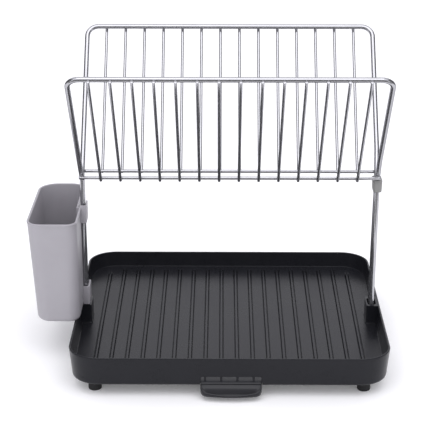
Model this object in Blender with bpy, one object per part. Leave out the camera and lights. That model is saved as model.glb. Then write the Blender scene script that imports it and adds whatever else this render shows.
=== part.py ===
"""Dish drying rack: two leaning wire frames that stand in a drip tray, with a
clip-on cutlery holder and a drain spout. Metres, +Z up, -Y is the front.
Everything is laid out from the ground under the middle of the tray, and at
the end moved so that the origin is the middle of the whole footprint."""

import math

import bmesh
import bpy
from mathutils import Matrix, Vector

MM = 0.001

# ---------------------------------------------------------------- dimensions
GAP = 0.3 * MM                # clearance between pieces that touch

# drip tray
TRAY_HX, TRAY_HY = 188.5 * MM, 166.3 * MM   # half size over the rim
TRAY_R = 36.5 * MM              # plan radius of the rim's corners
RIM_Z = 51.0 * MM
SKIRT_Z = 15.5 * MM           # lower edge of the outer wall
FLOOR_REAR_Z = 31.0 * MM      # floor height at y = +158 mm
FLOOR_SLOPE = 0.030           # falls towards the front
FLOOR_T = 2.5 * MM
RIB_COUNT, RIB_PITCH = 18, 18.8 * MM
RIB_W, RIB_H = 3.2 * MM, 1.3 * MM
RIB_Y0, RIB_Y1 = -150 * MM, 149 * MM

# leg sockets, one inside each side wall
SOCKET_X0, SOCKET_X1 = 172.0 * MM, 186.5 * MM
SOCKET_HY = 14.5 * MM
SOCKET_TOP = 50.7 * MM
SLOTS_X = (-180.0 * MM, 179.0 * MM)
SLOT_HX, SLOT_HY = 4.6 * MM, 10.0 * MM
SLOT_BOTTOM = 31.2 * MM

# feet
FOOT_X, FOOT_Y = 158 * MM, 140 * MM
FOOT_R, STEM_R = 7.85 * MM, 4.2 * MM
BOSS_R, BOSS_HOLE_R = 9.0 * MM, 4.5 * MM

# drain
SPOUT_X = 2.0 * MM
SPOUT_HX = 35.6 * MM
SPOUT_FRONT_Y = -177.6 * MM
WINDOW_Z0, WINDOW_Z1 = 20.8 * MM, 26.4 * MM
POST_W = 2.6 * MM

# wire frames
HOOP_R, BAR_R, WIRE_R = 3.0 * MM, 2.0 * MM, 1.75 * MM
HOOPS = {"front": (-0.6 * MM, 179.3 * MM), "rear": (0.35 * MM, 180.55 * MM)}   # middle, half width
HOOP_CORNER = 14 * MM
TOP_Y, TOP_Z = 132.5 * MM, 372.0 * MM       # top bar centre
BAR_Y, BAR_Z = 13.0 * MM, 218.25 * MM       # lower crossbar centre
BAR_HX = 182.6 * MM
WIRES = 14
WIRE_ROWS = {"front": (-0.7 * MM, 23.83 * MM, 0.0 * MM), "rear": (0.45 * MM, 24.1 * MM, 0.3 * MM)}   # middle, pitch, tail
LEG_TOP_Y, LEG_LOW_Y = 3.65 * MM, 6.3 * MM  # half spacing of a pair of legs
LEG_LOW_Z = SLOT_BOTTOM + GAP
LEG_LOW_X = {"front": (-179.6 * MM, 178.5 * MM), "rear": (-179.6 * MM, 178.2 * MM)}
LEG_TOP_X = {"front": (-179.6 * MM, 179.9 * MM), "rear": (-180.2 * MM, 179.4 * MM)}
BEND_R = 9 * MM

# cutlery holder
CUP_X0, CUP_X1 = -241.8 * MM, -181.6 * MM   # over the rim
CUP_Y, CUP_HY = 5.5 * MM, 76.0 * MM
CUP_R = 17 * MM
CUP_TOP, CUP_BOTTOM = 178.7 * MM, 50.8 * MM
CUP_T = 2.4 * MM
CUP_LIP = 0.5 * MM
CUP_DRAFT_SIDE, CUP_DRAFT_END = 0.0625, 0.022
CUP_STEP_Y, CUP_STEP = -9.5 * MM, 3.3 * MM  # the side facing the legs is set back here
HOOKS_Z = ((51.3 * MM, 75.0 * MM), (159.4 * MM, 182.0 * MM))
HOOK_REAR_Y = (10.0 * MM, 8.0 * MM)
HOOK_FACE_X = (-173.9 * MM, -174.8 * MM)

# collar round the right pair of legs
COLLAR_X0, COLLAR_X1 = 174.3 * MM, 185.5 * MM
COLLAR_HOLE_X0, COLLAR_HOLE_X1 = 176.0 * MM, 183.2 * MM
COLLAR_HY = 10.7 * MM
COLLAR_Z0, COLLAR_Z1 = 198.1 * MM, 216.0 * MM

for old in list(bpy.data.objects):
    bpy.data.objects.remove(old, do_unlink=True)
SCENE = bpy.context.scene.collection


# ---------------------------------------------------------------- helpers
def material(name, colour, rough, metal=0.0):
    mat = bpy.data.materials.new(name)
    mat.use_nodes = True
    bsdf = mat.node_tree.nodes["Principled BSDF"]
    bsdf.inputs["Base Color"].default_value = (*colour, 1)
    bsdf.inputs["Roughness"].default_value = rough
    bsdf.inputs["Metallic"].default_value = metal
    mat.diffuse_color = (*colour, 1)
    return mat


CHROME = material("bright_steel", (0.72, 0.72, 0.73), 0.12, 1.0)
CHARCOAL = material("charcoal_plastic", (0.035, 0.037, 0.042), 0.42)
LIGHT = material("light_grey_plastic", (0.46, 0.45, 0.47), 0.45)
GREY = material("grey_plastic", (0.29, 0.29, 0.27), 0.5)
RUBBER = material("black_rubber", (0.012, 0.012, 0.013), 0.7)


def finish(bm, name, mat, sharp=35):
    bmesh.ops.recalc_face_normals(bm, faces=bm.faces)
    mesh = bpy.data.meshes.new(name)
    bm.to_mesh(mesh)
    bm.free()
    mesh.materials.append(mat)
    mesh.shade_smooth()
    mesh.set_sharp_from_angle(angle=math.radians(sharp))
    obj = bpy.data.objects.new(name, mesh)
    SCENE.objects.link(obj)
    return obj


def cutter(bm, name):
    obj = finish(bm, name, CHARCOAL)
    obj.hide_render = True
    obj.display_type = "WIRE"
    return obj


def boolean(obj, other, operation):
    mod = obj.modifiers.new(other.name, "BOOLEAN")
    mod.operation = operation
    mod.object = other
    mod.solver = "EXACT"


def box(bm, low, high, bevel=0.0, vertical_only=True, segments=3):
    """A box from its two corners, with rounded vertical edges if asked."""
    made = bmesh.ops.create_cube(bm, size=1.0)["verts"]
    for v in made:
        v.co = Vector((low[i] + (v.co[i] + 0.5) * (high[i] - low[i]) for i in range(3)))
    if bevel:
        edges = {e for v in made for e in v.link_edges}
        if vertical_only:
            edges = {e for e in edges if abs((e.verts[0].co - e.verts[1].co).normalized().z) > 0.9}
        bmesh.ops.bevel(bm, geom=list(edges), offset=bevel, segments=segments, affect="EDGES", profile=0.5)


def cylinder(bm, centre, radius, z0, z1, sides=24):
    bmesh.ops.create_cone(
        bm, cap_ends=True, segments=sides, radius1=radius, radius2=radius, depth=z1 - z0,
        matrix=Matrix.Translation((centre[0], centre[1], (z0 + z1) / 2)),
    )


def rounded_rect(x0, x1, y0, y1, r, segments=8):
    """Points of a rounded rectangle, anticlockwise from the right side's lower end."""
    pts = []
    for cx, cy, start in (
        (x1 - r, y1 - r, 0), (x0 + r, y1 - r, 90), (x0 + r, y0 + r, 180), (x1 - r, y0 + r, 270),
    ):
        for i in range(segments + 1):
            a = math.radians(start + 90 * i / segments)
            pts.append((cx + r * math.cos(a), cy + r * math.sin(a)))
    return pts


def loft(bm, loops):
    """Closed body through loops of equal length; the first and last are capped."""
    rings = [[bm.verts.new(p) for p in loop] for loop in loops]
    n = len(rings[0])
    for a, b in zip(rings, rings[1:]):
        for i in range(n):
            bm.faces.new((a[i], a[(i + 1) % n], b[(i + 1) % n], b[i]))
    bm.faces.new(rings[0])
    bm.faces.new(rings[-1])


def arc_corner(p, q, s, radius, steps):
    """Replaces the corner q of p-q-s with an arc of the given radius."""
    p, q, s = Vector(p), Vector(q), Vector(s)
    u, w = (p - q).normalized(), (s - q).normalized()
    half = u.angle(w) / 2
    t = radius / math.tan(half)
    centre = q + (u + w).normalized() * (radius / math.sin(half))
    a, b = q + u * t - centre, q + w * t - centre
    turn = a.angle(b)
    return [
        centre + (a * math.sin(turn * (1 - k / steps)) + b * math.sin(turn * k / steps)) / math.sin(turn)
        for k in range(steps + 1)
    ]


def tube(name, path, radius, mat, sides=12, end_round=0.0):
    """A round bar along a path, its ends capped."""
    path = [Vector(p) for p in path]
    bm = bmesh.new()
    tangents = []
    for i, p in enumerate(path):
        ahead = (path[min(i + 1, len(path) - 1)] - p).normalized() if i < len(path) - 1 else None
        behind = (p - path[i - 1]).normalized() if i else None
        tangents.append(((ahead or behind) + (behind or ahead)).normalized())
    side = tangents[0].orthogonal().normalized()
    loops = []
    for i, (p, t) in enumerate(zip(path, tangents)):
        side = (side - t * side.dot(t)).normalized()
        up = t.cross(side)
        scale = 1.0
        if 0 < i < len(path) - 1:
            scale = 1.0 / max(0.7, (path[i + 1] - p).normalized().dot(t))
        ring = []
        for k in range(sides):
            a = 2 * math.pi * k / sides
            ring.append(p + (side * math.cos(a) + up * math.sin(a)) * radius * (scale if scale < 1.1 else 1.0))
        if i == 0 and end_round:
            loops.append([p + (q - p) * 0.6 for q in ring])
            ring = [q + t * end_round for q in ring]
        if i == len(path) - 1 and end_round:
            loops.append([q - t * end_round for q in ring])
            ring = [p + (q - p) * 0.6 for q in ring]
        loops.append(ring)
    loft(bm, loops)
    return finish(bm, name, mat)


def floor_z(y):
    return FLOOR_REAR_Z - (158 * MM - y) * FLOOR_SLOPE


# ---------------------------------------------------------------- drip tray
def tray_loop(inset, height):
    """A loop of the tray's outline; height is a number or a function of y."""
    r = max(TRAY_R - inset, 5 * MM)
    pts = rounded_rect(-TRAY_HX + inset, TRAY_HX - inset, -TRAY_HY + inset, TRAY_HY - inset, r)
    return [(x, y, height(y) if callable(height) else height) for x, y in pts]


def make_tray():
    mm = MM
    bm = bmesh.new()
    loft(bm, [
        tray_loop(8.4 * mm, lambda y: floor_z(y) - FLOOR_T),
        tray_loop(6.4 * mm, lambda y: floor_z(y) - FLOOR_T - 0.8 * mm),
        tray_loop(6.2 * mm, SKIRT_Z + 0.6 * mm),
        tray_loop(5.7 * mm, SKIRT_Z),
        tray_loop(4.6 * mm, SKIRT_Z + 0.3 * mm),
        tray_loop(3.7 * mm, SKIRT_Z + 1.6 * mm),
        tray_loop(3.2 * mm, SKIRT_Z + 4.0 * mm),
        tray_loop(0.2 * mm, RIM_Z - 1.6 * mm),
        tray_loop(0.0 * mm, RIM_Z - 0.7 * mm),
        tray_loop(0.6 * mm, RIM_Z),
        tray_loop(2.0 * mm, RIM_Z),
        tray_loop(2.6 * mm, RIM_Z - 0.7 * mm),
        tray_loop(5.6 * mm, lambda y: floor_z(y) + 5.5 * mm),
        tray_loop(6.6 * mm, lambda y: floor_z(y) + 2.2 * mm),
        tray_loop(8.3 * mm, lambda y: floor_z(y) + 0.6 * mm),
        tray_loop(11.0 * mm, floor_z),
    ])
    bmesh.ops.triangulate(bm, faces=bm.faces)
    tray = finish(bm, "drip_tray", CHARCOAL)

    add = bmesh.new()
    for i in range(RIB_COUNT):
        x = (i - (RIB_COUNT - 1) / 2) * RIB_PITCH
        outer = abs(x) > 150 * mm
        y0, y1 = (RIB_Y0 + 12 * mm, RIB_Y1 - 12 * mm) if outer else (RIB_Y0, RIB_Y1)
        lo, hi = RIB_W / 2, RIB_W / 2 - 0.6 * mm
        section = ((-lo, -1.0 * mm), (lo, -1.0 * mm), (lo, 0.1 * mm), (hi, RIB_H), (-hi, RIB_H), (-lo, 0.1 * mm))
        loft(add, [[(x + sx, y, floor_z(y) + sz) for sx, sz in section] for y in (y0, y1)])
    ribs = cutter(add, "tray_ribs")
    boolean(tray, ribs, "UNION")

    for side in (-1, 1):
        name = "left" if side < 0 else "right"
        add = bmesh.new()
        inner = [p for p in rounded_rect(SOCKET_X0, SOCKET_X0 + 6 * mm, -SOCKET_HY, SOCKET_HY, 2.0 * mm, 4) if p[0] < SOCKET_X0 + 2.5 * mm]
        loft(add, [
            [(side * x, y, z) for x, y in inner + [(far, -SOCKET_HY), (far, SOCKET_HY)]]
            for z, far in ((25.0 * mm, SOCKET_X1 - 2.1 * mm), (SOCKET_TOP, SOCKET_X1 + 0.6 * mm))
        ])
        boolean(tray, cutter(add, f"socket_{name}"), "UNION")
    for x in (-FOOT_X, FOOT_X):
        for y in (-FOOT_Y, FOOT_Y):
            add = bmesh.new()
            cylinder(add, (x, y), BOSS_R, SKIRT_Z, floor_z(y) - 1.2 * mm)
            boolean(tray, cutter(add, f"boss_{x > 0:d}{y > 0:d}"), "UNION")
    # two rails under the floor that guide the spout's tongue
    for side in (-1, 1):
        add = bmesh.new()
        section = ((30.4, 20.6), (33.6, 20.6), (33.6, 12.6), (27.6, 12.6), (27.6, 15.2), (30.4, 15.2))
        loft(add, [[(SPOUT_X + side * sx * mm, y, sz * mm) for sx, sz in section] for y in (-136 * mm, -110 * mm)])
        boolean(tray, cutter(add, f"rail_{side > 0:d}"), "UNION")

    cut = bmesh.new()
    for x in SLOTS_X:
        box(cut, (x - SLOT_HX, -SLOT_HY, SLOT_BOTTOM), (x + SLOT_HX, SLOT_HY, 60 * mm), 3.2 * mm, segments=4)
    for x in (-FOOT_X, FOOT_X):
        for y in (-FOOT_Y, FOOT_Y):
            cylinder(cut, (x, y), BOSS_HOLE_R, 10 * mm, 20.0 * mm, 20)
    # the drain windows through the front wall, between posts that carry on the ribs' lines
    edges = [-33.4 * mm] + [k * RIB_PITCH for k in (-1.5, -0.5, 0.5, 1.5)] + [37.4 * mm]
    for i, (a, b) in enumerate(zip(edges, edges[1:])):
        a += POST_W / 2 if i else 0
        b -= POST_W / 2 if i < len(edges) - 2 else 0
        box(cut, (a, -172 * mm, WINDOW_Z0), (b, -154.5 * mm, WINDOW_Z1))
    # and the gap under the floor that the spout slides in
    box(cut, (SPOUT_X - SPOUT_HX - 0.5 * mm, -172 * mm, 8 * mm), (SPOUT_X + SPOUT_HX + 0.5 * mm, -150 * mm, 18.8 * mm))
    boolean(tray, cutter(cut, "tray_cuts"), "DIFFERENCE")
    return tray


make_tray()


# ---------------------------------------------------------------- drain spout
def make_spout():
    mm = MM
    hx = SPOUT_HX
    bm = bmesh.new()
    outline = rounded_rect(SPOUT_X - hx, SPOUT_X + hx, SPOUT_FRONT_Y, -140 * mm, 8.0 * mm, 6)
    outline = [(x, y) for x, y in outline if y < -150 * mm]
    # points run from the left rear, round the front, to the right rear
    rear = -151.0 * mm
    path = [(SPOUT_X - hx, rear), (SPOUT_X - hx, -158 * mm), (SPOUT_X - hx, -164 * mm)] + outline + [
        (SPOUT_X + hx, -164 * mm), (SPOUT_X + hx, -158 * mm), (SPOUT_X + hx, rear)]

    def bottom(y):
        return 6.4 * mm + max(0.0, y + 171 * mm) * 0.46

    def top(y):
        return min(18.2 * mm, 9.8 * mm + max(0.0, y + 176 * mm) * 0.72)

    def water(y):
        return min(17.0 * mm, 8.3 * mm + max(0.0, y + 172 * mm) * 0.66)

    def inward(points, t):
        out = []
        for x, y in points:
            nx = SPOUT_X + (x - SPOUT_X) * (hx - t) / hx
            ny = y + t * max(0.0, min(1.0, (-164 * mm - y) / (10 * mm)))
            if y > rear - 0.1 * mm:
                ny = y - t * 0.6
            out.append((nx, ny))
        return out

    loops = [
        [(x, y, bottom(y)) for x, y in inward(path, 3.5 * mm)],
        [(x, y, bottom(y) + 0.9 * mm) for x, y in inward(path, 0.9 * mm)],
        [(x, y, bottom(y) + 2.4 * mm if bottom(y) + 2.4 * mm < top(y) - 0.8 * mm else top(y) - 0.8 * mm) for x, y in path],
        [(x, y, top(y)) for x, y in inward(path, 0.5 * mm)],
        [(x, y, top(y)) for x, y in inward(path, 2.1 * mm)],
        [(x, y, water(y)) for x, y in inward(path, 4.2 * mm)],
    ]
    loft(bm, loops)
    bmesh.ops.triangulate(bm, faces=[f for f in bm.faces if len(f.verts) > 4])
    spout = finish(bm, "drain_spout", CHARCOAL)
    add = bmesh.new()
    box(add, (SPOUT_X - 30 * mm, -156 * mm, 15.7 * mm), (SPOUT_X + 30 * mm, -112 * mm, 18.1 * mm))
    boolean(spout, cutter(add, "spout_tongue"), "UNION")
    return spout


make_spout()


# ---------------------------------------------------------------- feet
for side_x, name_x in ((-1, "left"), (1, "right")):
    for side_y, name_y in ((-1, "front"), (1, "rear")):
        bm = bmesh.new()
        profile = (
            (FOOT_R - 0.9 * MM, 0.0), (FOOT_R, 0.9 * MM), (FOOT_R, SKIRT_Z - GAP - 0.6 * MM),
            (FOOT_R - 0.6 * MM, SKIRT_Z - GAP), (STEM_R, SKIRT_Z - GAP), (STEM_R, 19.0 * MM), (STEM_R - 0.6 * MM, 19.6 * MM),
        )
        loft(bm, [
            [(r * math.cos(2 * math.pi * k / 20), r * math.sin(2 * math.pi * k / 20), z) for k in range(20)]
            for r, z in profile
        ])
        foot = finish(bm, f"foot_{name_y}_{name_x}", RUBBER)
        foot.location = (side_x * FOOT_X, side_y * FOOT_Y, 0)


# ---------------------------------------------------------------- wire frames
SLOPE = Vector((0, -(TOP_Y - BAR_Y), TOP_Z - BAR_Z)).normalized()     # up the front frame
OUT = Vector((0, -SLOPE.z, SLOPE.y))                                  # out of its face


def hoop_side_point():
    """Where the hoop's side wires pass the crossbar, which is welded on their outer side."""
    return Vector((0, -BAR_Y, BAR_Z)) - OUT * (HOOP_R + BAR_R + GAP)


def make_frame(which):
    flip = 1 if which == "front" else -1

    def place(x, p):
        return Vector((x, flip * p.y, p.z))

    top = Vector((0, -TOP_Y, TOP_Z))
    near = hoop_side_point()
    middle_x, half = HOOPS[which]
    down = (near - top).normalized()
    knee = near + down * ((-LEG_TOP_Y - near.y) / down.y)
    path = []
    for side in (-1, 1):
        end = 0 if side < 0 else 1
        low = Vector((LEG_LOW_X[which][end], flip * -LEG_LOW_Y, LEG_LOW_Z))
        bent = Vector((LEG_TOP_X[which][end], flip * knee.y, knee.z))
        up_bar = place(middle_x + side * half, near + (top - near) * 0.15)
        corner = place(middle_x + side * half, top)
        middle = place(middle_x, top)
        run = [low] + arc_corner(low, bent, up_bar, BEND_R, 5) + [up_bar]
        run += arc_corner(up_bar, corner, middle, HOOP_CORNER, 8)
        path += run if side < 0 else run[::-1]
    tube(f"{which}_hoop", path, HOOP_R, CHROME, 12, end_round=0.8 * MM)

    bar = Vector((0, -BAR_Y, BAR_Z))
    tube(f"{which}_crossbar", [place(-BAR_HX, bar), place(BAR_HX, bar)], BAR_R, CHROME, 12, end_round=0.6 * MM)

    head = top + OUT * (HOOP_R + WIRE_R + GAP)
    foot = bar + OUT * (BAR_R + WIRE_R + GAP)
    along = (head - foot).normalized()
    row_x, pitch, tail = WIRE_ROWS[which]
    head += along * 2.2 * MM
    foot -= along * tail
    for i in range(WIRES):
        x = row_x + (i - (WIRES - 1) / 2) * pitch
        tube(f"{which}_wire_{i + 1:02d}", [place(x, foot), place(x, head)], WIRE_R, CHROME, 10, end_round=0.5 * MM)


make_frame("front")
make_frame("rear")


# ---------------------------------------------------------------- collar
def make_collar():
    bm = bmesh.new()
    outer0 = rounded_rect(COLLAR_X0 + 0.3 * MM, COLLAR_X1 - 0.9 * MM, -COLLAR_HY, COLLAR_HY, 3.2 * MM, 5)
    outer1 = rounded_rect(COLLAR_X0, COLLAR_X1, -COLLAR_HY, COLLAR_HY, 3.4 * MM, 5)
    loft(bm, [
        [(x, y, COLLAR_Z0) for x, y in outer0],
        [(x, y, COLLAR_Z1) for x, y in outer1],
    ])
    collar = finish(bm, "leg_collar", GREY)
    cut = bmesh.new()
    hole0 = rounded_rect(COLLAR_HOLE_X0, COLLAR_HOLE_X1, -7.6 * MM, 7.6 * MM, 3.2 * MM, 5)
    hole1 = rounded_rect(COLLAR_HOLE_X0, COLLAR_HOLE_X1, -9.2 * MM, 9.2 * MM, 3.2 * MM, 5)
    loft(cut, [
        [(x, y, COLLAR_Z0 - 5 * MM) for x, y in hole0],
        [(x, y, 207 * MM) for x, y in hole0],
        [(x, y, COLLAR_Z1 + 5 * MM) for x, y in hole1],
    ])
    boolean(collar, cutter(cut, "collar_hole"), "DIFFERENCE")


make_collar()


# ---------------------------------------------------------------- cutlery holder
def cup_outline(inset, z):
    """Plan of the holder at height z, set in by inset; its right side faces the legs."""
    fall = CUP_TOP - z
    x0 = CUP_X0 + inset + fall * CUP_DRAFT_SIDE
    x1 = CUP_X1 - inset
    y0 = CUP_Y - CUP_HY + inset + fall * CUP_DRAFT_END
    y1 = CUP_Y + CUP_HY - inset - fall * CUP_DRAFT_END
    r = max(CUP_R - inset, 4 * MM)
    pts = rounded_rect(x0, x1 - CUP_STEP, y0, y1, r, 7)
    # the last corner is the front right one: it stands proud of the step behind it
    n = len(pts) - 8
    head, tail = pts[:n], rounded_rect(x0, x1, y0, y1, r, 7)[n:]
    step = [(x1, CUP_STEP_Y - 3.0 * MM), (x1 - CUP_STEP, CUP_STEP_Y + 1.5 * MM)]
    return [(x, y, z) for x, y in head + tail + step]


def make_cup():
    mm = MM
    bm = bmesh.new()
    loops = []
    for k in range(6):                       # rounded lower edge
        a = math.radians(90 * k / 5)
        r = 12 * mm
        loops.append(cup_outline(r * (1 - math.sin(a)), CUP_BOTTOM + r * (1 - math.cos(a))))
    loops += [
        cup_outline(0, CUP_TOP - 3.0 * mm),
        cup_outline(-CUP_LIP, CUP_TOP - 2.0 * mm),
        cup_outline(-0.4 * mm, CUP_TOP - 0.4 * mm),
        cup_outline(0.2 * mm, CUP_TOP),
        cup_outline(CUP_T - 0.5 * mm, CUP_TOP),
        cup_outline(CUP_T, CUP_TOP - 0.6 * mm),
    ]
    for k in range(6):
        a = math.radians(90 * k / 5)
        r = 10 * mm
        loops.append(cup_outline(CUP_T + r * (1 - math.cos(a)), CUP_BOTTOM + CUP_T + r * (1 - math.sin(a))))
    loft(bm, loops)
    cup = finish(bm, "cutlery_holder", LIGHT)

    add = bmesh.new()
    for (z0, z1), rear, face in zip(HOOKS_Z, HOOK_REAR_Y, HOOK_FACE_X):
        face /= mm
        section = (
            (-183.4, -13.6), (face - 1.4, -13.6), (face, -12.2), (face, rear / mm), (-176.25, rear / mm),
            (-176.25, -10.7), (-183.4, -10.7),
        )
        loft(add, [[(sx * mm, sy * mm, z) for sx, sy in section] for z in (z0, z1)])
    boolean(cup, cutter(add, "holder_hooks"), "UNION")


make_cup()

# the origin: on the ground, in the middle of the whole footprint
FOOTPRINT_X = (CUP_X0 - CUP_LIP + TRAY_HX) / 2
FOOTPRINT_Y = (SPOUT_FRONT_Y + TRAY_HY) / 2
for obj in bpy.data.objects:
    obj.location -= Vector((FOOTPRINT_X, FOOTPRINT_Y, 0))
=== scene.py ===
"""The looks of the dish drying rack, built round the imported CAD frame."""

import math

import bmesh
import bpy
from mathutils import Matrix, Vector
from mathutils.geometry import delaunay_2d_cdt


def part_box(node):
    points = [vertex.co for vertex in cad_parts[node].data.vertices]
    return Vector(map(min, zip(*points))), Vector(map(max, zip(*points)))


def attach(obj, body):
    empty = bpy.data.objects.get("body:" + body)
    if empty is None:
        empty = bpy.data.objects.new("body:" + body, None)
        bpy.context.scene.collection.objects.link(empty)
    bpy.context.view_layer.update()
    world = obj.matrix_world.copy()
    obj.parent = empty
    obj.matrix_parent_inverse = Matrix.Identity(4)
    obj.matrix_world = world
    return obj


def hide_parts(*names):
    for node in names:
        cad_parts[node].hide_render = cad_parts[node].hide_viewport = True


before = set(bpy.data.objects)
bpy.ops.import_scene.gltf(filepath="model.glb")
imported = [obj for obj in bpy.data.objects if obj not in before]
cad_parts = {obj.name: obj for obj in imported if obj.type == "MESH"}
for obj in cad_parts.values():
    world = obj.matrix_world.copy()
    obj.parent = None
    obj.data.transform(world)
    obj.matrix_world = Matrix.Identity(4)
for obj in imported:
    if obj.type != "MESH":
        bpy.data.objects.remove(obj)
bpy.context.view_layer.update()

MM = 0.001

# Everything below is laid out in millimetres from the ground under the tray's middle.
_lo, _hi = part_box("drip_tray")
ORIGIN = Vector(((_lo.x + _hi.x) / 2, (_lo.y + _hi.y) / 2, 0.0))
TRAY_HX, TRAY_HY = (_hi.x - _lo.x) / 2 / MM, (_hi.y - _lo.y) / 2 / MM
RIM_Z = _hi.z / MM
PLACE = Matrix.Translation(ORIGIN) @ Matrix.Scale(MM, 4)
SCENE = bpy.context.scene.collection


def node_box(name):
    """A CAD node's box in these millimetres."""
    lo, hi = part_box(name)
    return (lo - ORIGIN) / MM, (hi - ORIGIN) / MM


# ---------------------------------------------------------------- materials
def node(nt, kind, at=(0, 0), **sockets):
    n = nt.nodes.new(kind)
    n.location = at
    for key, value in sockets.items():
        n.inputs[key.replace("_", " ")].default_value = value
    return n


def ramp(nt, source, low, high, a, b):
    """source, from low..high, mapped to a..b."""
    m = nt.nodes.new("ShaderNodeMapRange")
    m.inputs["From Min"].default_value = low
    m.inputs["From Max"].default_value = high
    m.inputs["To Min"].default_value = a
    m.inputs["To Max"].default_value = b
    nt.links.new(source, m.inputs["Value"])
    return m.outputs["Result"]


def noise(nt, coords, scale, detail=2.0, rough=0.5, stretch=None):
    if stretch:
        mp = nt.nodes.new("ShaderNodeMapping")
        mp.inputs["Scale"].default_value = stretch
        nt.links.new(coords, mp.inputs["Vector"])
        coords = mp.outputs["Vector"]
    n = nt.nodes.new("ShaderNodeTexNoise")
    n.inputs["Scale"].default_value = scale
    n.inputs["Detail"].default_value = detail
    n.inputs["Roughness"].default_value = rough
    nt.links.new(coords, n.inputs["Vector"])
    return n.outputs["Fac"]


def blend_colour(nt, fac, a, b):
    m = nt.nodes.new("ShaderNodeMix")
    m.data_type = "RGBA"
    m.inputs["A"].default_value = (*a, 1)
    m.inputs["B"].default_value = (*b, 1)
    nt.links.new(fac, m.inputs["Factor"])
    return m.outputs["Result"]


def start(name):
    mat = bpy.data.materials.new(name)
    mat.use_nodes = True
    nt = mat.node_tree
    bsdf = nt.nodes["Principled BSDF"]
    coords = nt.nodes.new("ShaderNodeTexCoord").outputs["Object"]
    return mat, nt, bsdf, coords


def moulded_plastic(name, dark, light, rough, spread, grain, depth, specular=0.5):
    """Injection-moulded plastic: an even colour with faint flow clouds, a fine eroded grain and a sheen that varies a little."""
    mat, nt, bsdf, coords = start(name)
    cloud = noise(nt, coords, 26.0, 3.0, 0.55)
    fine = noise(nt, coords, grain, 2.0, 0.6)
    colour = blend_colour(nt, ramp(nt, cloud, 0.3, 0.7, 0.0, 1.0), dark, light)
    nt.links.new(colour, bsdf.inputs["Base Color"])
    both = nt.nodes.new("ShaderNodeMath")
    both.operation = "ADD"
    nt.links.new(ramp(nt, cloud, 0.3, 0.7, rough - spread, rough + spread), both.inputs[0])
    nt.links.new(ramp(nt, fine, 0.3, 0.7, -spread * 0.6, spread * 0.6), both.inputs[1])
    nt.links.new(both.outputs[0], bsdf.inputs["Roughness"])
    bump = nt.nodes.new("ShaderNodeBump")
    bump.inputs["Strength"].default_value = depth
    bump.inputs["Distance"].default_value = 0.00005
    nt.links.new(fine, bump.inputs["Height"])
    nt.links.new(bump.outputs["Normal"], bsdf.inputs["Normal"])
    bsdf.inputs["Specular IOR Level"].default_value = specular
    return mat


def bright_plating(name):
    """Bright plated wire: a hard mirror with faint drawing marks and a touch of haze here and there."""
    mat, nt, bsdf, coords = start(name)
    haze = noise(nt, coords, 40.0, 3.0, 0.6)
    marks = noise(nt, coords, 900.0, 2.0, 0.6, stretch=(1.0, 0.25, 0.25))
    colour = blend_colour(nt, ramp(nt, haze, 0.3, 0.7, 0.0, 1.0), (0.455, 0.455, 0.475), (0.505, 0.505, 0.525))
    nt.links.new(colour, bsdf.inputs["Base Color"])
    nt.links.new(ramp(nt, haze, 0.3, 0.75, 0.10, 0.17), bsdf.inputs["Roughness"])
    bump = nt.nodes.new("ShaderNodeBump")
    bump.inputs["Strength"].default_value = 0.05
    bump.inputs["Distance"].default_value = 0.00003
    nt.links.new(marks, bump.inputs["Height"])
    nt.links.new(bump.outputs["Normal"], bsdf.inputs["Normal"])
    bsdf.inputs["Metallic"].default_value = 0.87
    bsdf.inputs["Specular Tint"].default_value = (0.22, 0.22, 0.23, 1)
    return mat


def black_rubber(name):
    mat, nt, bsdf, coords = start(name)
    fine = noise(nt, coords, 1400.0, 3.0, 0.65)
    colour = blend_colour(nt, fine, (0.006, 0.006, 0.007), (0.013, 0.013, 0.014))
    nt.links.new(colour, bsdf.inputs["Base Color"])
    nt.links.new(ramp(nt, fine, 0.3, 0.7, 0.6, 0.8), bsdf.inputs["Roughness"])
    bump = nt.nodes.new("ShaderNodeBump")
    bump.inputs["Strength"].default_value = 0.35
    bump.inputs["Distance"].default_value = 0.0001
    nt.links.new(fine, bump.inputs["Height"])
    nt.links.new(bump.outputs["Normal"], bsdf.inputs["Normal"])
    return mat


CHROME = bright_plating("bright_plating")
CHARCOAL = moulded_plastic("charcoal_plastic", (0.0115, 0.0118, 0.0145), (0.0135, 0.0138, 0.0168), 0.29, 0.03, 1500.0, 0.30, 0.20)
LIGHT = moulded_plastic("light_grey_plastic", (0.335, 0.323, 0.345), (0.355, 0.343, 0.366), 0.42, 0.03, 1600.0, 0.25)
GREY = moulded_plastic("grey_plastic", (0.215, 0.215, 0.205), (0.240, 0.240, 0.230), 0.50, 0.04, 1600.0, 0.35)
SPOUT = moulded_plastic("charcoal_plastic_spout", (0.0132, 0.0136, 0.0165), (0.0150, 0.0154, 0.0188), 0.33, 0.03, 1500.0, 0.30, 0.36)
RUBBER = black_rubber("black_rubber")


# ---------------------------------------------------------------- mesh helpers
def finish(bm, name, mat, body=None, replaces=(), sharp=38.0, merge=False):
    if merge:
        bmesh.ops.remove_doubles(bm, verts=bm.verts, dist=1e-4)
    bmesh.ops.recalc_face_normals(bm, faces=bm.faces)
    bm.transform(PLACE)
    mesh = bpy.data.meshes.new(name)
    bm.to_mesh(mesh)
    bm.free()
    mesh.materials.append(mat)
    mesh.shade_smooth()
    mesh.set_sharp_from_angle(angle=math.radians(sharp))
    obj = bpy.data.objects.new(name, mesh)
    SCENE.objects.link(obj)
    if body:
        dress(obj, body, replaces)
    return obj


def dress(obj, body, replaces=()):
    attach(obj, body)
    if replaces:
        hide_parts(*replaces)


def boolean(obj, bm, name, operation="DIFFERENCE"):
    """Cuts or joins at once, and keeps the result as the object's own mesh."""
    other = finish(bm, name, CHARCOAL)
    mod = obj.modifiers.new(name, "BOOLEAN")
    mod.operation = operation
    mod.object = other
    mod.solver = "EXACT"
    settle(obj)
    bpy.data.objects.remove(other, do_unlink=True)


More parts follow.
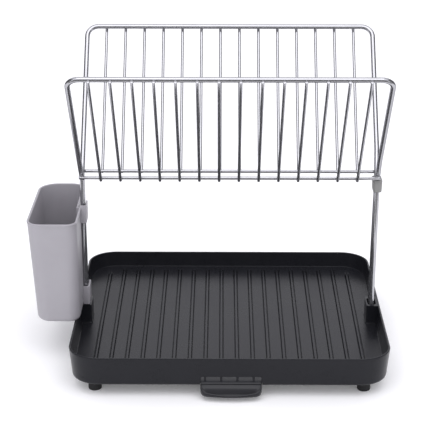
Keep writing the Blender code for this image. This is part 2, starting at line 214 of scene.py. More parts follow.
def settle(obj, sharp=38.0):
    """Applies the object's modifiers."""
    bpy.context.view_layer.update()
    graph = bpy.context.evaluated_depsgraph_get()
    mesh = bpy.data.meshes.new_from_object(obj.evaluated_get(graph))
    obj.modifiers.clear()
    obj.data = mesh
    mesh.shade_smooth()
    mesh.set_sharp_from_angle(angle=math.radians(sharp))


def soften(obj, width, segments=2, angle=35.0):
    """Rounds every edge sharper than the angle."""
    mod = obj.modifiers.new("edges", "BEVEL")
    mod.width = width * MM
    mod.segments = segments
    mod.limit_method = "ANGLE"
    mod.angle_limit = math.radians(angle)
    mod.use_clamp_overlap = True
    settle(obj)


def box(bm, low, high):
    made = bmesh.ops.create_cube(bm, size=1.0)["verts"]
    for v in made:
        v.co = Vector((low[i] + (v.co[i] + 0.5) * (high[i] - low[i]) for i in range(3)))


def ring_faces(bm, a, b):
    n = len(a)
    for i in range(n):
        bm.faces.new((a[i], a[(i + 1) % n], b[(i + 1) % n], b[i]))


def loft(bm, loops, cap_first=True, cap_last=True):
    rings = [[bm.verts.new(p) for p in loop] for loop in loops]
    for a, b in zip(rings, rings[1:]):
        ring_faces(bm, a, b)
    if cap_first:
        bm.faces.new(rings[0])
    if cap_last:
        bm.faces.new(rings[-1])
    return rings


def rounded_rect(x0, x1, y0, y1, r, corner=12, along_x=1, along_y=1):
    """Anticlockwise, from the rear right corner's arc; each straight side has so many spans."""
    pts = []
    corners = ((x1 - r, y1 - r, 0), (x0 + r, y1 - r, 90), (x0 + r, y0 + r, 180), (x1 - r, y0 + r, 270))
    for k, (cx, cy, first) in enumerate(corners):
        for i in range(corner + 1):
            a = math.radians(first + 90 * i / corner)
            pts.append((cx + r * math.cos(a), cy + r * math.sin(a)))
        nx, ny, nf = corners[(k + 1) % 4]
        a = math.radians(nf)
        q = (nx + r * math.cos(a), ny + r * math.sin(a))
        p = pts[-1]
        spans = along_x if k % 2 == 0 else along_y
        for i in range(1, spans):
            t = i / spans
            pts.append((p[0] + (q[0] - p[0]) * t, p[1] + (q[1] - p[1]) * t))
    return pts


def arc_corner(p, q, s, radius, steps):
    p, q, s = Vector(p), Vector(q), Vector(s)
    u, w = (p - q).normalized(), (s - q).normalized()
    half = u.angle(w) / 2
    t = radius / math.tan(half)
    centre = q + (u + w).normalized() * (radius / math.sin(half))
    a, b = q + u * t - centre, q + w * t - centre
    turn = a.angle(b)
    return [
        centre + (a * math.sin(turn * (1 - k / steps)) + b * math.sin(turn * k / steps)) / math.sin(turn)
        for k in range(steps + 1)
    ]


def tube(bm, path, radius, sides=24, dome=0.7, dome_steps=5):
    """A round wire along a path, with softly rounded ends."""
    path = [Vector(p) for p in path]
    tangents = []
    for i, p in enumerate(path):
        ahead = (path[i + 1] - p).normalized() if i < len(path) - 1 else None
        behind = (p - path[i - 1]).normalized() if i else None
        tangents.append(((ahead or behind) + (behind or ahead)).normalized())
    side = tangents[0].orthogonal().normalized()
    loops = []

    def ring(p, side, up, r):
        return [
            p + (side * math.cos(2 * math.pi * k / sides) + up * math.sin(2 * math.pi * k / sides)) * r
            for k in range(sides)
        ]

    last = len(path) - 1
    for i, (p, t) in enumerate(zip(path, tangents)):
        side = (side - t * side.dot(t)).normalized()
        up = t.cross(side)
        if i == 0:
            for k in range(dome_steps, -1, -1):
                a = math.radians(90 * k / dome_steps)
                loops.append(ring(p + t * dome * (1 - math.sin(a)), side, up, radius - dome * (1 - math.cos(a))))
        elif i == last:
            for k in range(dome_steps + 1):
                a = math.radians(90 * k / dome_steps)
                loops.append(ring(p - t * dome * (1 - math.sin(a)), side, up, radius - dome * (1 - math.cos(a))))
        else:
            loops.append(ring(p, side, up, radius))
    loft(bm, loops)


def bead(bm, centre, normal, along, r_across, r_along, r_deep, sides=14, rings=8):
    """A flattened weld bead between two wires: normal points from one wire to the other."""
    normal = normal.normalized()
    along = (along - normal * along.dot(normal)).normalized()
    across = normal.cross(along)
    loops = []
    for i in range(1, rings):
        a = math.pi * i / rings
        loops.append([
            centre + normal * (math.cos(a) * r_deep)
            + (along * (math.cos(2 * math.pi * k / sides) * r_along) + across * (math.sin(2 * math.pi * k / sides) * r_across)) * math.sin(a)
            for k in range(sides)
        ])
    rr = [[bm.verts.new(p) for p in loop] for loop in loops]
    for p, q in zip(rr, rr[1:]):
        ring_faces(bm, p, q)
    for tip, r in ((centre + normal * r_deep, rr[0]), (centre - normal * r_deep, rr[-1])):
        v = bm.verts.new(tip)
        for k in range(sides):
            bm.faces.new((v, r[k], r[(k + 1) % sides]))


# ---------------------------------------------------------------- drip tray
TRAY_R = 36.5
SKIRT_Z = 15.5
FLOOR_T = 2.5
RIB_PITCH, RIB_COUNT = 18.8, 18
RIB_Y0, RIB_Y1 = -150.0, 149.0
SPOUT_X, SPOUT_HX = 2.0, 35.6


def floor_z(y):
    return 31.0 - (158.0 - y) * 0.03


def tray_loop(inset, z):
    pts = rounded_rect(
        -TRAY_HX + inset, TRAY_HX - inset, -TRAY_HY + inset, TRAY_HY - inset, max(TRAY_R - inset, 4.0), 16, 10, 8
    )
    return [(x, y, z(y) if callable(z) else z) for x, y in pts]


def above_floor(dz):
    return lambda y: floor_z(y) + dz


def tray_profile():
    """(inset, height) from the underside, round the wall, to the floor."""
    out = [
        (12.0, above_floor(-FLOOR_T)), (8.4, above_floor(-FLOOR_T)), (7.3, above_floor(-FLOOR_T - 0.2)),
        (6.6, above_floor(-FLOOR_T - 0.8)), (6.35, 16.6), (6.25, 16.0), (6.0, 15.65), (5.5, SKIRT_Z),
    ]
    for k in range(1, 9):
        a = math.radians(90 * k / 8)
        out.append((5.5 - 2.3 * math.sin(a), 19.6 - 4.1 * math.cos(a)))
    for z in (25.0, 31.0, 37.0, 43.0, 47.5):
        out.append((3.2 - (z - 19.6) * 2.95 / 30.5, z))
    for k in range(7):
        a = math.radians(90 * k / 6)
        out.append((1.05 - 0.85 * math.cos(a), RIM_Z - 0.9 + 0.9 * math.sin(a)))
    for k in range(7):
        a = math.radians(90 * k / 6)
        out.append((1.75 + 0.85 * math.sin(a), RIM_Z - 0.9 + 0.9 * math.cos(a)))
    out += [(2.8, RIM_Z - 3.0), (3.6, lambda y: RIM_Z - 3.0 + (floor_z(y) + 2.0 - RIM_Z + 3.0) * 0.5)]
    for k in range(6):
        a = math.radians(90 * k / 5)
        out.append((5.6 - 0.9 * math.cos(a), above_floor(0.9 - 0.9 * math.sin(a))))
    return out


RIB_SHAPE = (
    (3.5, 0.0), (2.95, 0.0), (2.78, -0.08), (2.70, -0.40), (2.64, -1.20), (2.45, -1.50), (2.05, -1.55), (1.80, -1.35),
    (1.70, -0.60), (1.58, 0.45), (1.42, 0.88), (1.10, 1.12), (0.60, 1.22),
)


def rib_field(bm, x):
    """One rib with the narrow groove on each side of it, as its own patch of the floor. Returns its border."""
    short = 12.0 if abs(x) > 150 else 0.0
    y0, y1 = RIB_Y0 + short, RIB_Y1 - short
    profile = [(-a, b) for a, b in RIB_SHAPE] + [(0.0, 1.24)] + [(a, b) for a, b in reversed(RIB_SHAPE)]
    offsets = [0.0, 0.4, 0.9, 1.5, 2.2, 3.0, 4.0, 5.2]
    ys = [y0 + o for o in offsets]
    ys += [y0 + 5.2 + (y1 - y0 - 10.4) * k / 14 for k in range(1, 14)]
    ys += [y1 - o for o in reversed(offsets)]
    rows = []
    for y in ys:
        t = min(1.0, min(y - y0, y1 - y) / 3.6)
        rise = math.sqrt(max(0.0, 1 - (1 - t) ** 2)) if t > 0 else 0.0
        row = []
        for k, (px, pz) in enumerate(profile):
            edge = k in (0, len(profile) - 1)
            sx = px if edge else px * (0.35 + 0.65 * rise)
            row.append(bm.verts.new((x + sx, y, floor_z(y) + pz * min(1.0, rise * 1.05))))
        rows.append(row)
    for a, b in zip(rows, rows[1:]):
        for k in range(len(a) - 1):
            bm.faces.new((a[k], a[k + 1], b[k + 1], b[k]))
    border = rows[0] + [r[-1] for r in rows[1:]] + rows[-1][-2::-1] + [r[0] for r in rows[-2:0:-1]]
    return border, (x - 3.5, x + 3.5, y0, y1)


def fill_floor(bm, outline, borders, holes):
    """Fills the flat floor between its outline and the ribs' patches."""
    verts = list(outline)
    edges = [(i, (i + 1) % len(outline)) for i in range(len(outline))]
    for border in borders:
        first = len(verts)
        verts += border
        n = len(border)
        edges += [(first + i, first + (i + 1) % n) for i in range(n)]
    pts, _, faces, source, _, _ = delaunay_2d_cdt([Vector((v.co.x, v.co.y)) for v in verts], edges, [], 0, 1e-6)
    index = [verts[s[0]] if s else bm.verts.new((p.x, p.y, floor_z(p.y))) for p, s in zip(pts, source)]
    for f in faces:
        cx = sum(pts[i].x for i in f) / len(f)
        cy = sum(pts[i].y for i in f) / len(f)
        if any(a < cx < b and c < cy < d for a, b, c, d in holes):
            continue
        try:
            bm.faces.new([index[i] for i in f])
        except ValueError:
            pass


def make_tray():
    bm = bmesh.new()
    rings = loft(bm, [tray_loop(i, z) for i, z in tray_profile()], True, False)
    borders, holes = [], []
    for i in range(RIB_COUNT):
        border, hole = rib_field(bm, (i - (RIB_COUNT - 1) / 2) * RIB_PITCH)
        borders.append(border)
        holes.append(hole)
    fill_floor(bm, rings[-1], borders, holes)
    tray = finish(bm, "tray_shell", CHARCOAL)
    cut = bmesh.new()
    # a shallow panel round the drain, the windows through it, and the gap for the spout
    panel = [(x, z) for x, z in rounded_rect(SPOUT_X - 35.0, SPOUT_X + 35.0, 12.0, 27.3, 2.2, 5)]
    loft(cut, [[(x, y, z) for x, z in panel] for y in (-172.0, -162.55)])
    boolean(tray, cut, "panel_cut")
    cut = bmesh.new()
    posts = [-33.0] + [k * RIB_PITCH for k in (-1.5, -0.5, 0.5, 1.5)] + [37.0]
    for i, (a, b) in enumerate(zip(posts, posts[1:])):
        a += 1.35 if i else 0
        b -= 1.35 if i < len(posts) - 2 else 0
        loft(cut, [[(x, y, z) for x, z in rounded_rect(a, b, 20.5, 26.3, 0.8, 4)] for y in (-173.0, -160.55)])
    boolean(tray, cut, "window_cuts")
    cut = bmesh.new()
    box(cut, (SPOUT_X - SPOUT_HX - 0.5, -173.0, 8.0), (SPOUT_X + SPOUT_HX + 0.5, -158.2, 18.9))
    boolean(tray, cut, "spout_gap")
    dress(tray, "tray_unit", ["drip_tray"])

    for side, slot_x in ((-1, -180.0), (1, 179.0)):
        name = "left" if side < 0 else "right"
        bm = bmesh.new()
        plan = rounded_rect(172.0, 186.0, -14.5, 14.5, 2.6, 8)
        plan = [(x, y) for x, y in plan]
        loops = []
        for z, grow in ((22.0, 1.0), (floor_z(0) + 0.2, 0.9), (floor_z(0) + 0.9, 0.35), (floor_z(0) + 2.0, 0.0), (RIM_Z - 1.0, 0.0), (RIM_Z - 0.55, -0.12), (RIM_Z - 0.3, -0.55)):
            ring = []
            for x, y in plan:
                far = x > 183.0
                gx = x - grow if not far else 184.5 + (z - 22.0) * 0.095
                gy = math.copysign(14.5, y) if far else y
                ring.append((side * gx, gy + math.copysign(grow, y), z))
            loops.append(ring)
        loft(bm, loops)
        socket = finish(bm, f"tray_socket_{name}", CHARCOAL)
        cut = bmesh.new()
        slot = rounded_rect(slot_x - 4.6, slot_x + 4.6, -10.0, 10.0, 4.45, 10)
        loops = [[(x, y, 33.0) for x, y in slot], [(x, y, RIM_Z - 1.5) for x, y in slot]]
        for k in range(1, 4):
            g = 0.35 * k
            loops.append([(slot_x + (x - slot_x) * (4.6 + g) / 4.6, y * (10 + g) / 10, RIM_Z - 1.5 + 0.55 * k) for x, y in slot])
        loops.append([(slot_x + (x - slot_x) * 6.2 / 4.6, y * 11.6 / 10, RIM_Z + 1.5) for x, y in slot])
        loft(cut, loops)
        boolean(socket, cut, "slot_cut")
        dress(socket, "tray_unit")

    # the underside: bosses for the feet, rails for the spout and stiffening ribs
    bm = bmesh.new()
    for x in (-158.0, 158.0):
        for y in (-140.0, 140.0):
            top = floor_z(y) - 1.2
            loft(bm, [
                [(x + r * math.cos(2 * math.pi * k / 32), y + r * math.sin(2 * math.pi * k / 32), z) for k in range(32)]
                for r, z in ((4.5, SKIRT_Z), (8.6, SKIRT_Z), (9.0, SKIRT_Z + 0.4), (9.0, top), (4.5, top))
            ], False, False)
            loft(bm, [
                [(x + 4.5 * math.cos(2 * math.pi * k / 32), y + 4.5 * math.sin(2 * math.pi * k / 32), z) for k in range(32)]
                for z in (SKIRT_Z, top)
            ], False, False)
    for side in (-1, 1):
        section = ((30.4, 20.6), (33.6, 20.6), (33.6, 12.6), (27.6, 12.6), (27.6, 15.2), (30.4, 15.2))
        loft(bm, [[(SPOUT_X + side * sx, y, sz) for sx, sz in section] for y in (-136.0, -110.0)])
    for y in (-90.0, -30.0, 30.0, 90.0):
        top = floor_z(y) - FLOOR_T + 0.4
        loft(bm, [[(x, y - w, z) for x, w, z in ((-176.0, 0.9, top), (176.0, 0.9, top), (176.0, 0.7, top - 5.0), (-176.0, 0.7, top - 5.0))],
                  [(x, y + w, z) for x, w, z in ((-176.0, 0.9, top), (176.0, 0.9, top), (176.0, 0.7, top - 5.0), (-176.0, 0.7, top - 5.0))]])
    under = finish(bm, "tray_underside_ribs", CHARCOAL, "tray_unit", merge=True)
    return tray, under


make_tray()

bm = bmesh.new()
chute = [(-160.6, 21.35), (-162.2, 21.15), (-163.6, 20.6), (-164.9, 19.75), (-165.95, 18.95), (-165.2, 18.9), (-160.6, 18.9)]
loft(bm, [[(x, y, z) for y, z in chute] for x in (SPOUT_X - 34.6, SPOUT_X + 34.6)])
finish(bm, "tray_chute", SPOUT, "tray_unit")


# ---------------------------------------------------------------- drain spout
def make_spout():
    hx, front, rear = SPOUT_HX, -177.6, -151.0
    bow, r = 2.3, 9.5

    def half_path():
        """From the left rear, round the front left corner, to the middle of the lip."""
        pts = [(-hx, rear + k * (-164.0 - rear) / 6) for k in range(7)]
        corner = []
        lip = front + bow
        for k in range(1, 13):
            a = math.radians(90 * k / 12)
            corner.append((-hx + r * (1 - math.cos(a)), lip + r - r * math.sin(a)))
        straight = [(-hx, -164.0 + k * (corner[0][1] - 0.6 + 164.0) / 3) for k in range(1, 3)]
        x0 = corner[-1][0]
        lipline = [(x0 * (1 - k / 10), 0) for k in range(1, 11)]
        out = pts + straight + corner
        out += [(x, lip - bow * (1 - (x / x0) ** 2)) for x, _ in lipline]
        return out

    half = half_path()
    path = half + [(-x, y) for x, y in half[-2::-1]]
    n = len(path)

    def bottom(y):
        return 6.4 + max(0.0, y + 172.0) * 0.46

    def top(y):
        return min(18.9, 8.4 + max(0.0, y + 177.6) * 0.78)

    def water(y):
        """A slope away from the wall, then a steep face down to the lip."""
        if y > -166.05:
            return 18.88
        if y > -169.4:
            return 18.88 + (y + 166.05) * 1.4
        return max(7.3, 14.2 + (y + 169.4) * 1.9)

    def inward(t):
        out = []
        for x, y in path:
            nx = x * (hx - t) / hx
            ny = y + t * max(0.0, min(1.0, (-164.0 - y) / 9.0))
            if y > rear - 0.1:
                ny = y - t * 0.5
            out.append((nx, ny))
        return out

    def at(t, z):
        return [(SPOUT_X + x, y, z(y)) for x, y in inward(t)]

    bm = bmesh.new()
    loops = [
        at(3.6, lambda y: bottom(y)),
        at(2.2, lambda y: bottom(y)),
        at(0.9, lambda y: bottom(y) + 0.05),
        at(0.3, lambda y: min(bottom(y) + 0.35, top(y) - 1.6)),
        at(0.0, lambda y: min(bottom(y) + 0.9, top(y) - 1.3)),
        at(0.0, lambda y: top(y) - 0.95),
        at(0.14, lambda y: top(y) - 0.55),
        at(0.42, lambda y: top(y) - 0.2),
        at(0.85, lambda y: top(y)),
        at(1.15, lambda y: top(y) - 0.06),
        at(1.5, lambda y: top(y) - 0.3),
        at(1.75, lambda y: min(top(y) - 0.45, water(y) + 0.9)),
        at(2.1, lambda y: min(top(y) - 0.5, water(y) + 0.4)),
        at(2.8, lambda y: min(top(y) - 0.3, water(y) + 0.1)),
        at(3.6, lambda y: min(top(y) - 0.15, water(y))),
    ]
    rings = loft(bm, loops, False, False)
    for ring in (rings[0], rings[-1]):
        for i in range(n // 2):
            j, k, m = i + 1, n - 2 - i, n - 1 - i
            quad = [ring[i], ring[j], ring[k], ring[m]]
            quad = [v for a, v in enumerate(quad) if v not in quad[:a]]
            if len(quad) > 2:
                bm.faces.new(quad)
    spout = finish(bm, "spout_scoop", SPOUT, "drain_spout", ["drain_spout"], sharp=50)
    bm = bmesh.new()
    box(bm, (SPOUT_X - 30, -156, 15.7), (SPOUT_X + 30, -112, 18.1))
    tongue = finish(bm, "spout_tongue", CHARCOAL)
    soften(tongue, 0.5, 3)
    dress(tongue, "drain_spout")
    return spout


make_spout()


# ---------------------------------------------------------------- feet
for fx, nx in ((-1, "left"), (1, "right")):
    for fy, ny in ((-1, "front"), (1, "rear")):
        bm = bmesh.new()
        cx, cy = fx * 158.0, fy * 140.0
        profile = [(0.02, 0.55), (3.6, 0.55), (4.1, 0.35), (4.6, 0.02), (5.4, 0.0), (6.6, 0.0)]
        profile += [(6.6 + 1.25 * math.sin(a), 1.25 - 1.25 * math.cos(a)) for a in [math.radians(15 * k) for k in range(1, 7)]]
        profile += [(7.85, 4.0), (7.7, 6.0), (7.55, 9.5), (7.6, 12.8), (7.55, 13.9), (7.2, 14.6), (6.6, 14.95), (4.2, 15.1), (4.2, 19.0), (3.6, 19.6), (0.02, 19.6)]
        loft(bm, [
            [(cx + r * math.cos(2 * math.pi * k / 40), cy + r * math.sin(2 * math.pi * k / 40), z) for k in range(40)]
            for r, z in profile
        ])
        finish(bm, f"rubber_foot_{ny}_{nx}", RUBBER, "tray_unit", [f"foot_{ny}_{nx}"])


# ---------------------------------------------------------------- wire frames
HOOP_R, BAR_R, WIRE_R = 3.0, 2.0, 1.75
GAP = 0.3
HOOPS = {"front": (-0.6, 179.3), "rear": (0.35, 180.55)}
HOOP_CORNER = 14.0
TOP_Y, TOP_Z = 132.5, 372.0
BAR_Y, BAR_Z = 13.0, 218.25
BAR_HX = 182.6
WIRES = 14
WIRE_ROWS = {"front": (-0.7, 23.83, 0.0), "rear": (0.45, 24.1, 0.3)}
LEG_TOP_Y, LEG_LOW_Y = 3.65, 6.3
LEG_LOW_Z = 31.5
LEG_LOW_X = {"front": (-179.6, 178.5), "rear": (-179.6, 178.2)}
LEG_TOP_X = {"front": (-179.6, 179.9), "rear": (-180.2, 179.4)}
BEND_R = 9.0
SLOPE = Vector((0, -(TOP_Y - BAR_Y), TOP_Z - BAR_Z)).normalized()
OUT = Vector((0, -SLOPE.z, SLOPE.y))


def make_frame(which):
    flip = 1 if which == "front" else -1

    def place(x, p):
        return Vector((x, flip * p.y, p.z))

    def turned(v):
        return Vector((v.x, flip * v.y, v.z))

    top = Vector((0, -TOP_Y, TOP_Z))
    near = Vector((0, -BAR_Y, BAR_Z)) - OUT * (HOOP_R + BAR_R + GAP)
    middle_x, half = HOOPS[which]
    down = (near - top).normalized()
    knee = near + down * ((-LEG_TOP_Y - near.y) / down.y)
    path = []
    for side in (-1, 1):
        end = 0 if side < 0 else 1
        low = Vector((LEG_LOW_X[which][end], flip * -LEG_LOW_Y, LEG_LOW_Z))
        bent = Vector((LEG_TOP_X[which][end], flip * knee.y, knee.z))
        up_bar = place(middle_x + side * half, near + (top - near) * 0.15)
        corner = place(middle_x + side * half, top)
        middle = place(middle_x, top)
        run = [low] + arc_corner(low, bent, up_bar, BEND_R, 12) + [up_bar]
        run += arc_corner(up_bar, corner, middle, HOOP_CORNER, 20)
        path += run if side < 0 else run[::-1]
    bm = bmesh.new()
    tube(bm, path, HOOP_R, 32, 0.8, 5)
    finish(bm, f"{which}_hoop_wire", CHROME, "rack", [f"{which}_hoop"])

    bar = Vector((0, -BAR_Y, BAR_Z))
    bm = bmesh.new()
    tube(bm, [place(-BAR_HX + BAR_HX * k / 6, bar) for k in range(13)], BAR_R, 24, 1.0, 5)
    for side in (-1, 1):
        t = (bar.y - near.y) / (top.y - near.y) if abs(top.y - near.y) > 1e-6 else 0.0
        x = middle_x + side * half
        contact = place(x, bar - OUT * (BAR_R + GAP / 2))
        bead(bm, contact, turned(OUT), turned(SLOPE), 2.9, 2.5, 1.1)
    finish(bm, f"{which}_crossbar_wire", CHROME, "rack", [f"{which}_crossbar"])

    head = top + OUT * (HOOP_R + WIRE_R + GAP)
    foot = bar + OUT * (BAR_R + WIRE_R + GAP)
    along = (head - foot).normalized()
    row_x, pitch, tail = WIRE_ROWS[which]
    head_end = head + along * 2.2
    foot_end = foot - along * tail
    bm = bmesh.new()
    for i in range(WIRES):
        x = row_x + (i - (WIRES - 1) / 2) * pitch
        tube(bm, [place(x, foot_end + (head_end - foot_end) * (k / 8)) for k in range(9)], WIRE_R, 20, 0.4, 4)
        bead(bm, place(x, top + OUT * (HOOP_R + GAP / 2)), turned(OUT), turned(along), 2.3, 2.7, 1.1)
        bead(bm, place(x, bar + OUT * (BAR_R + GAP / 2)), turned(OUT), turned(along), 2.0, 2.1, 0.95)
    finish(bm, f"{which}_upright_wires", CHROME, "rack", [f"{which}_wire_{i + 1:02d}" for i in range(WIRES)])


make_frame("front")
make_frame("rear")


# ---------------------------------------------------------------- collar
def make_collar():
    (x0, y0, z0), (x1, y1, z1) = node_box("leg_collar")
    z0, z1 = z0 + 1.0, z1 - 1.6
    bm = bmesh.new()
    loops = []
    for z, inset in (
        (z0, 1.1), (z0 + 0.15, 0.75), (z0 + 0.6, 0.45), (z0 + 3.0, 0.35), (z1 - 3.4, 0.12), (z1 - 3.1, 0.42), (z1 - 2.7, 0.42),
        (z1 - 2.4, 0.05), (z1 - 0.8, 0.0), (z1 - 0.3, 0.2), (z1, 0.65),
    ):
        loops.append([(x, y, z) for x, y in rounded_rect(x0 + inset, x1 - inset, y0 + inset, y1 - inset, 3.0, 8)])
    loft(bm, loops)
    collar = finish(bm, "collar_block", GREY)
    cut = bmesh.new()
    hx0, hx1 = 176.0, 183.2
    hole = [(9.2, z1 + 4), (9.2, z1), (8.6, z1 - 0.7), (8.4, 207.0), (7.6, 206.0), (7.6, z0 - 4)]
    loft(cut, [[(x, y, z) for x, y in rounded_rect(hx0, hx1, -h, h, 3.2, 8)] for h, z in hole])
    boolean(collar, cut, "collar_hole")
    dress(collar, "rack", ["leg_collar"])


make_collar()


# ---------------------------------------------------------------- cutlery holder
CUP_X0, CUP_X1 = -241.8, -181.6
CUP_Y, CUP_HY = 5.5, 76.0
CUP_R = 17.0
CUP_TOP, CUP_BOTTOM = 178.7, 50.8
CUP_T = 2.4
CUP_LIP = 0.5
CUP_DRAFT_SIDE, CUP_DRAFT_END = 0.0625, 0.022
CUP_STEP_Y, CUP_STEP = -9.5, 3.3
HOOKS = ((51.3, 75.0, 10.0, -173.9), (159.4, 182.0, 8.0, -174.8))


def cup_outline(inset, z):
    """Plan of the holder at a height; its right side, towards the legs, steps back behind the front corner."""
    fall = CUP_TOP - z
    x0 = CUP_X0 + inset + fall * CUP_DRAFT_SIDE
    x1 = CUP_X1 - inset
    y0 = CUP_Y - CUP_HY + inset + fall * CUP_DRAFT_END
    y1 = CUP_Y + CUP_HY - inset - fall * CUP_DRAFT_END
    r = max(CUP_R - inset, 4.0)
    big = rounded_rect(x0, x1 - CUP_STEP, y0, y1, r + 7.0, 14)
    base = rounded_rect(x0, x1 - CUP_STEP, y0, y1, r, 14)
    front = rounded_rect(x0, x1, y0, y1, max(r - 4.0, 4.0), 14)

    def join(p, q, spans):
        return [(p[0] + (q[0] - p[0]) * i / spans, p[1] + (q[1] - p[1]) * i / spans) for i in range(1, spans)]

    arcs = (base[:15], big[15:30], base[30:45], front[45:60])
    out = []
    for k, arc in enumerate(arcs):
        out += arc
        if k < 3:
            out += join(arc[-1], arcs[k + 1][0], 6 if k % 2 == 0 else 8)
    for k, t in enumerate((0.0, 0.12, 0.3, 0.5, 0.7, 0.88, 1.0)):
        s = t * t * (3 - 2 * t)
        out.append((x1 - CUP_STEP * s, CUP_STEP_Y - 1.6 + 2.2 * t))
    return [(x, y, z) for x, y in out]


def make_cup():
    bm = bmesh.new()
    loops = []
    for k in range(11):
        a = math.radians(90 * k / 10)
        loops.append(cup_outline(5.5 * (1 - math.sin(a)), CUP_BOTTOM + 5.5 * (1 - math.cos(a))))
    for z in (85.0, 110.0, 135.0, 158.0):
        loops.append(cup_outline(0.0, z))
    loops += [
        cup_outline(0.0, CUP_TOP - 3.4), cup_outline(-0.1, CUP_TOP - 2.9), cup_outline(-0.35, CUP_TOP - 2.4),
        cup_outline(-CUP_LIP + 0.02, CUP_TOP - 1.8), cup_outline(-CUP_LIP + 0.02, CUP_TOP - 0.9),
        cup_outline(-0.35, CUP_TOP - 0.45), cup_outline(-0.05, CUP_TOP - 0.12), cup_outline(0.45, CUP_TOP),
        cup_outline(CUP_T - 0.9, CUP_TOP), cup_outline(CUP_T - 0.4, CUP_TOP - 0.15), cup_outline(CUP_T - 0.1, CUP_TOP - 0.5),
        cup_outline(CUP_T, CUP_TOP - 1.1), cup_outline(CUP_T, 158.0), cup_outline(CUP_T, 120.0), cup_outline(CUP_T, 85.0),
    ]
    for k in range(9):
        a = math.radians(90 * k / 8)
        loops.append(cup_outline(CUP_T + 5.0 * (1 - math.cos(a)), CUP_BOTTOM + CUP_T + 5.0 * (1 - math.sin(a))))
    loft(bm, loops)
    cup = finish(bm, "holder_cup", LIGHT)
    dress(cup, "cutlery_holder", ["cutlery_holder"])
    for i, (z0, z1, rear, face) in enumerate(HOOKS):
        bm = bmesh.new()
        outer = [(-181.85, -13.6), (face - 2.2, -13.6)]
        outer += [(face - 2.2 + 2.2 * math.sin(a), -11.4 - 2.2 * math.cos(a)) for a in [math.radians(90 * k / 8) for k in range(1, 9)]]
        outer += [(face, rear - 0.6), (face - 0.3, rear - 0.1), (face - 0.8, rear), (-176.5, rear), (-176.65, rear - 0.5), (-176.5, rear - 1.3), (-176.25, rear - 1.9)]
        outer += [(-176.25, -9.9), (-176.45, -10.5), (-177.0, -10.7), (-181.85, -10.7)]
        loft(bm, [[(x, y, z) for x, y in outer] for z in (z0, z1)])
        hook = finish(bm, f"holder_hook_{'lower' if i == 0 else 'upper'}", LIGHT)
        soften(hook, 0.45, 3, 50.0)
        dress(hook, "cutlery_holder")


make_cup()


# ---------------------------------------------------------------- stage, light and camera
def stage_plane(name, corners, mat, camera=True):
    bm = bmesh.new()
    bm.faces.new([bm.verts.new(c) for c in corners])
    mesh = bpy.data.meshes.new(name)
    bm.to_mesh(mesh)
    bm.free()
    mesh.materials.append(mat)
    obj = bpy.data.objects.new(name, mesh)
    SCENE.objects.link(obj)
    if not camera:
        obj.visible_camera = False
        obj.visible_shadow = False
        obj.visible_diffuse = False
    return obj


def glow(name, value):
    mat = bpy.data.materials.new(name)
    mat.use_nodes = True
    nt = mat.node_tree
    nt.nodes.clear()
    out = nt.nodes.new("ShaderNodeOutputMaterial")
    em = nt.nodes.new("ShaderNodeEmission")
    em.inputs["Color"].default_value = (value, value, value, 1)
    em.inputs["Strength"].default_value = 1.0
    nt.links.new(em.outputs[0], out.inputs["Surface"])
    return mat


floor_mat = bpy.data.materials.new("pale_floor")
floor_mat.use_nodes = True
_b = floor_mat.node_tree.nodes["Principled BSDF"]
_b.inputs["Base Color"].default_value = (0.92, 0.92, 0.92, 1)
_b.inputs["Roughness"].default_value = 0.95
_b.inputs["Specular IOR Level"].default_value = 0.0
_b.inputs["Emission Color"].default_value = (1, 1, 1, 1)
_b.inputs["Emission Strength"].default_value = 0.12
ox, oy = ORIGIN.x, ORIGIN.y
stage_plane("floor", [(ox - 25, oy - 25, 0), (ox + 25, oy - 25, 0), (ox + 25, oy + 25, 0), (ox - 25, oy + 25, 0)], floor_mat)


def front_card(name, y, x, z0, z1, value):
    stage_plane(name, [(ox - x, oy + y, z0), (ox + x, oy + y, z0), (ox + x, oy + y, z1), (ox - x, oy + y, z1)], glow(name + "_dark", value), False)


front_card("card_front", -1.25, 1.1, 0.02, 0.75, 0.02)


def side_card(name, x, y0, y1, z0, z1, value):
    stage_plane(name, [(ox + x, oy + y0, z0), (ox + x, oy + y1, z0), (ox + x, oy + y1, z1), (ox + x, oy + y0, z1)], glow(name + "_dark", value), False)


side_card("card_left", -1.1, -0.7, 1.2, 0.10, 1.15, 0.04)
side_card("card_right", 1.1, -0.7, 1.2, 0.10, 1.15, 0.04)
stage_plane("card_low", [(ox - 1.1, oy - 1.25, 0.002), (ox + 1.1, oy - 1.25, 0.002), (ox + 1.1, oy - 0.34, 0.002), (ox - 1.1, oy - 0.34, 0.002)], glow("card_low_grey", 0.30), False)

world = bpy.data.worlds.new("studio_world")
bpy.context.scene.world = world
world.use_nodes = True
wt = world.node_tree
bg = wt.nodes["Background"]
wco = wt.nodes.new("ShaderNodeTexCoord").outputs["Generated"]
sep = wt.nodes.new("ShaderNodeSeparateXYZ")
wt.links.new(wco, sep.inputs[0])


def world_math(kind, a, b):
    m = wt.nodes.new("ShaderNodeMath")
    m.operation = kind
    for socket, value in zip(m.inputs, (a, b)):
        if isinstance(value, (int, float)):
            socket.default_value = value
        else:
            wt.links.new(value, socket)
    return m.outputs[0]


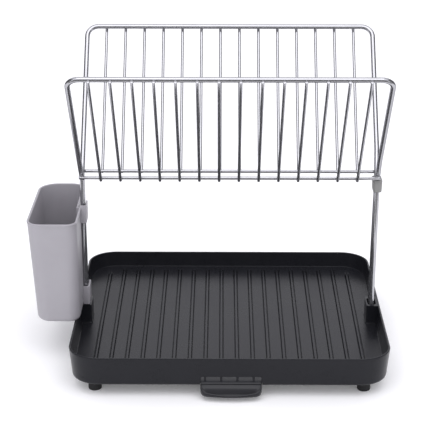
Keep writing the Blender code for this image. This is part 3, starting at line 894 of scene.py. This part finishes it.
def world_ramp(source, low, high, a, b):
    m = wt.nodes.new("ShaderNodeMapRange")
    m.interpolation_type = "SMOOTHSTEP"
    for key, value in (("From Min", low), ("From Max", high), ("To Min", a), ("To Max", b)):
        m.inputs[key].default_value = value
    wt.links.new(source, m.inputs["Value"])
    return m.outputs["Result"]


def lobe(direction, low, high, strength):
    """Soft light from round one direction."""
    d = wt.nodes.new("ShaderNodeVectorMath")
    d.operation = "DOT_PRODUCT"
    wt.links.new(wco, d.inputs[0])
    d.inputs[1].default_value = Vector(direction).normalized()
    return world_ramp(d.outputs["Value"], low, high, 0.0, strength)


dome = world_ramp(sep.outputs["Z"], 0.0, 0.5, 0.45, 0.66)
front_light = lobe((0.0, -0.75, 0.66), 0.35, 0.98, 0.95)
rear_light = lobe((0.0, 0.92, 0.38), 0.45, 0.95, 0.50)
level = world_math("ADD", world_math("ADD", dome, front_light), rear_light)
wt.links.new(level, bg.inputs["Strength"])
bg.inputs["Color"].default_value = (0.985, 0.98, 1.035, 1)


def area(name, at, target, size, power, size_y=None):
    light = bpy.data.lights.new(name, "AREA")
    light.energy = power
    light.size = size
    if size_y:
        light.shape = "RECTANGLE"
        light.size_y = size_y
    obj = bpy.data.objects.new(name, light)
    SCENE.objects.link(obj)
    at, target = ORIGIN + Vector(at), ORIGIN + Vector(target)
    obj.location = at
    obj.rotation_euler = (target - at).to_track_quat("-Z", "Y").to_euler()
    return obj


area("top_softbox", (0.0, -0.9, 2.2), (0, 0, 0), 2.0, 11.0)

cam = bpy.data.cameras.new("camera")
cam.lens = 1391.69 / 423 * 36
cam.sensor_width = 36
cam.clip_end = 60
camera = bpy.data.objects.new("camera", cam)
SCENE.objects.link(camera)
yaw, pitch = -0.00794, 0.35146
forward = Vector((math.sin(yaw) * math.cos(pitch), math.cos(yaw) * math.cos(pitch), -math.sin(pitch)))
right = forward.cross(Vector((0, 0, 1))).normalized()
upward = right.cross(forward)
view = Matrix((right, upward, -forward)).transposed().to_4x4()
view.translation = ORIGIN + Vector((-9.207, -1607.57, 759.88)) * MM
camera.matrix_world = view
bpy.context.scene.camera = camera
bpy.context.scene.view_settings.view_transform = "Standard"
bpy.context.scene.view_settings.look = "None"
